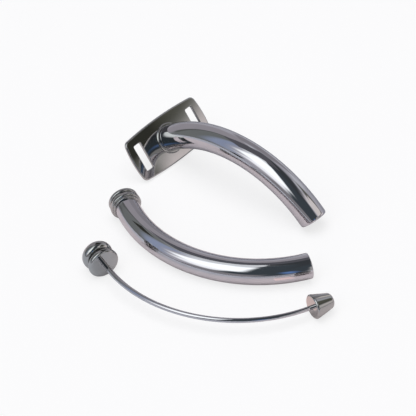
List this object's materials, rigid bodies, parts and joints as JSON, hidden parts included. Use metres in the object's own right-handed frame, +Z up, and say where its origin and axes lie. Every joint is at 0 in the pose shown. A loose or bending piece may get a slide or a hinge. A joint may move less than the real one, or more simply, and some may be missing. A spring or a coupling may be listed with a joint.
{
  "type": "tracheostomy tube",
  "caption": "Metal tracheostomy tube taken apart: outer cannula with slotted neck plate and swivel catch, inner cannula with grooved collar, and wire obturator with a blunt tip.",
  "frame": {"origin": "centre of the laid-out set's footprint, on the surface it lies on", "axes": "+Z up from the surface; the picture's camera looks along +Y and down, with +X to its right"},
  "size_m": [0.0954, 0.1244, 0.0264],
  "materials": {
    "polished_steel": "mirror polished"
  },
  "bodies": {
    "cannula_set": {"neck_plate": "polished_steel", "outer_tube": "polished_steel", "root_collar": "polished_steel", "catch_pivot": "polished_steel", "inner_tube": "polished_steel", "inner_collar": "polished_steel", "obturator_knob": "polished_steel", "obturator_wire": "polished_steel", "obturator_tip": "polished_steel"},
    "catch": {"lock_catch": "polished_steel"}
  },
  "joints": [
    {"name": "catch_swing", "type": "hinge", "parent": "cannula_set", "child": "catch", "pos_m": [-0.01659, 0.05176, 0.00546], "axis": [-0.6297, 0.4902, -0.6026], "range_deg": [0, 90]}
  ]
}
